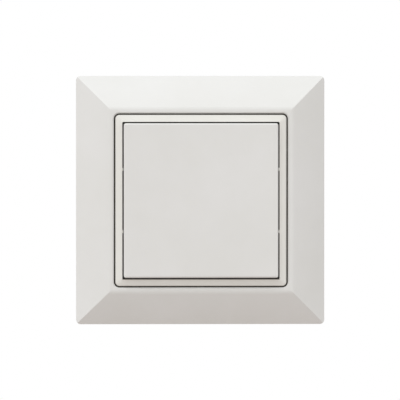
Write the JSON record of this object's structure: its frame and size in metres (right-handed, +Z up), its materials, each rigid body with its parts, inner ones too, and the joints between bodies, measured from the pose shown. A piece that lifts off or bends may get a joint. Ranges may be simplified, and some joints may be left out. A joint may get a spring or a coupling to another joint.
{
  "type": "wireless light switch",
  "caption": "Square surface-mounted wireless wall switch: sloping outer frame, narrow ring and one large tilting rocker over a self-powered radio module.",
  "frame": {"origin": "centre of the wall face, on the back of the adhesive pad", "axes": "+Z up, +X to the right seen from the room, +Y into the wall; the rocker faces -Y"},
  "size_m": [0.08, 0.0144, 0.08],
  "materials": {
    "frame_white": "moulded white, lightly glossy",
    "rocker_white": "moulded white, lightly glossy",
    "plate_grey": "moulded light grey, matt",
    "foam": "closed-cell foam foil",
    "tray_plastic": "black moulded plastic",
    "cover_plastic": "dark grey moulded plastic",
    "bow_plastic": "natural white moulded plastic",
    "carrier_plastic": "black moulded plastic",
    "board": "green solder resist",
    "silicone": "grey silicone",
    "magnet_metal": "nickel-plated magnet",
    "core_steel": "annealed sheet",
    "spring_steel": "bright strip",
    "bobbin_plastic": "natural moulded plastic",
    "copper": "enamelled copper wire",
    "tin": "tinned pins",
    "chip_black": "moulded chip body",
    "can_metal": "metal can",
    "capacitor": "moulded capacitor body",
    "antenna_ceramic": "pale ceramic"
  },
  "bodies": {
    "housing": {"adhesive_pad": "foam", "mounting_plate": "plate_grey", "design_frame": "frame_white", "intermediate_frame": "frame_white", "module_base": "tray_plastic", "module_cover": "cover_plastic", "circuit_board": "board", "contact_mat_left": "silicone", "contact_mat_right": "silicone", "iron_core": "core_steel", "coil_bobbin": "bobbin_plastic", "coil_winding": "copper", "coil_terminals": "tin", "return_spring_left": "spring_steel", "return_spring_right": "spring_steel", "radio_chip": "chip_black", "energy_manager": "chip_black", "rectifier": "chip_black", "storage_capacitors": "capacitor", "crystal": "can_metal", "chip_antenna": "antenna_ceramic"},
    "rocker_body": {"rocker": "rocker_white", "energy_bow": "bow_plastic"},
    "see_saw": {"magnet_carrier": "carrier_plastic", "magnet": "magnet_metal", "pole_plate_front": "core_steel", "pole_plate_rear": "core_steel"}
  },
  "joints": [
    {"name": "rocker_tilt", "type": "hinge", "parent": "housing", "child": "rocker_body", "pos_m": [0, -0.0093, 0], "axis": [1, 0, 0], "range_deg": [-4, 4], "stiffness_Nm_per_rad": 2.2, "deforming": ["contact_mat_left", "contact_mat_right"]},
    {"name": "magnet_swing", "type": "hinge", "parent": "housing", "child": "see_saw", "pos_m": [0, -0.00665, 0.004], "axis": [1, 0, 0], "range_deg": [-5.39, 5.39], "deforming": ["return_spring_left", "return_spring_right"]}
  ],
  "couplings": [
    {"joint": "magnet_swing", "follows": "rocker_tilt", "ratio": 1.3478}
  ]
}
